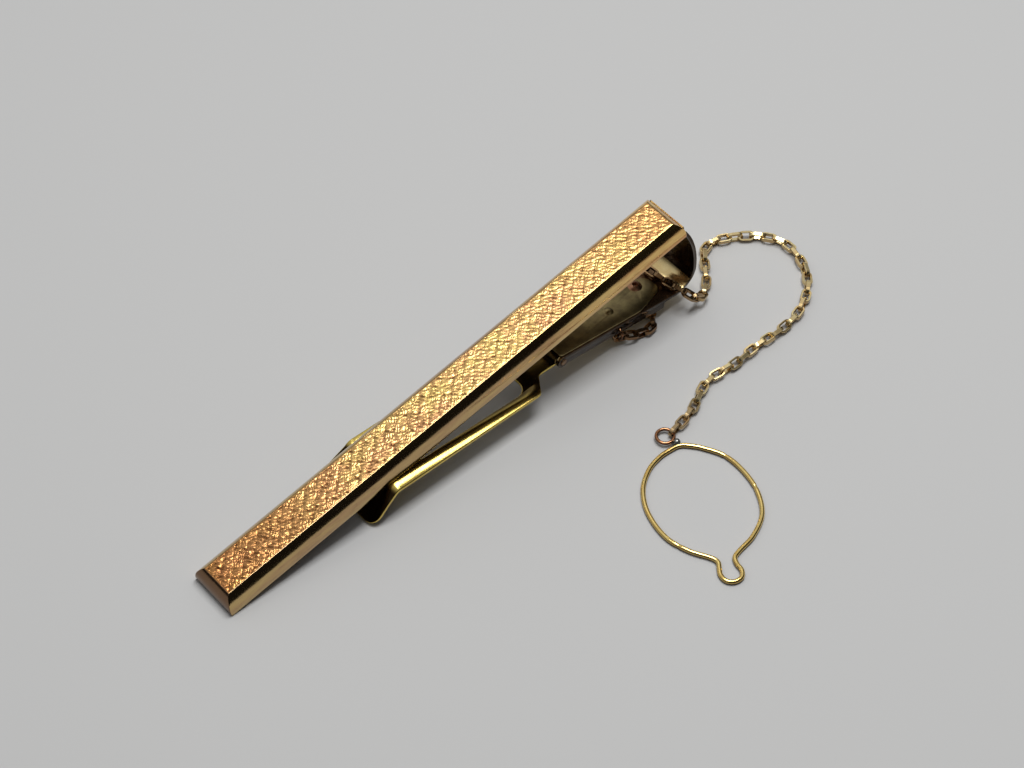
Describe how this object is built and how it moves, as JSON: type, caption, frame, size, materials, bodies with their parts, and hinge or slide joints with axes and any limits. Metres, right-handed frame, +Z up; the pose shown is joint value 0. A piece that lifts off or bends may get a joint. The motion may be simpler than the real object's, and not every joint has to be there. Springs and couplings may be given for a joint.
{
  "type": "tie clip",
  "caption": "Gold-tone tie clip: hollow bevelled bar with a hatched face, a sprung bow with a hinged jaw behind it, and a fine safety chain ending in a wire button loop.",
  "frame": {"origin": "middle of the clip's footprint on the table it lies on, without the chain and the button loop", "axes": "+X along the bar towards the bow, +Y across the bar away from the viewer, +Z up from the table"},
  "size_m": [0.0785, 0.0401, 0.0143],
  "materials": {
    "bar_gold": "hatched face with polished bevels, gold plated",
    "strip_gold": "polished, gold plated",
    "leaf_brass": "dull, tarnished",
    "rivet_copper": "dull, brown",
    "chain_gold": "polished and faceted, gold plated",
    "loop_gold": "drawn wire, gold plated",
    "solder_grey": "grey solder"
  },
  "bodies": {
    "clip": {"front_bar": "bar_gold", "bow_strip": "strip_gold", "leaf_spring": "leaf_brass", "spring_rivet": "rivet_copper", "hinge_pin": "strip_gold", "chain_ring": "chain_gold", "chain_links_01": "chain_gold", "chain_links_02": "chain_gold", "chain_links_03": "chain_gold", "chain_links_04": "chain_gold", "chain_links_05": "chain_gold", "chain_links_06": "chain_gold", "chain_links_07": "chain_gold", "chain_links_08": "chain_gold", "chain_links_09": "chain_gold", "chain_links_10": "chain_gold", "chain_links_11": "chain_gold", "chain_links_12": "chain_gold", "chain_links_13": "chain_gold", "chain_links_14": "chain_gold", "chain_links_15": "chain_gold", "chain_links_16": "chain_gold", "chain_links_17": "chain_gold", "chain_links_18": "chain_gold", "chain_links_19": "chain_gold", "chain_links_20": "chain_gold", "chain_links_21": "chain_gold", "chain_links_22": "chain_gold", "chain_links_23": "chain_gold", "chain_links_24": "chain_gold", "chain_links_25": "chain_gold", "chain_links_26": "chain_gold", "chain_links_27": "chain_gold", "chain_links_28": "chain_gold", "chain_links_29": "chain_gold", "chain_links_30": "chain_gold", "chain_links_31": "chain_gold"},
    "jaw": {"jaw": "strip_gold"},
    "end_link": {"chain_end_link": "chain_gold"},
    "loop": {"button_loop": "loop_gold", "loop_eye": "loop_gold", "loop_solder": "solder_grey"}
  },
  "joints": [
    {"name": "jaw_hinge", "type": "hinge", "parent": "clip", "child": "jaw", "pos_m": [0.01292, 0, 0.00387], "axis": [0, -1, 0], "range_deg": [0, 80], "stiffness_Nm_per_rad": 0.02, "springref_deg": -22.92},
    {"name": "end_link_swing", "type": "hinge", "parent": "clip", "child": "end_link", "pos_m": [0.01847, -0.01509, 0.00061], "axis": [0, 0, 1], "range_deg": [-35, 35]},
    {"name": "loop_swing", "type": "hinge", "parent": "end_link", "child": "loop", "pos_m": [0.0168, -0.01537, 0.00061], "axis": [0, 0, 1], "range_deg": [-60, 40]}
  ]
}
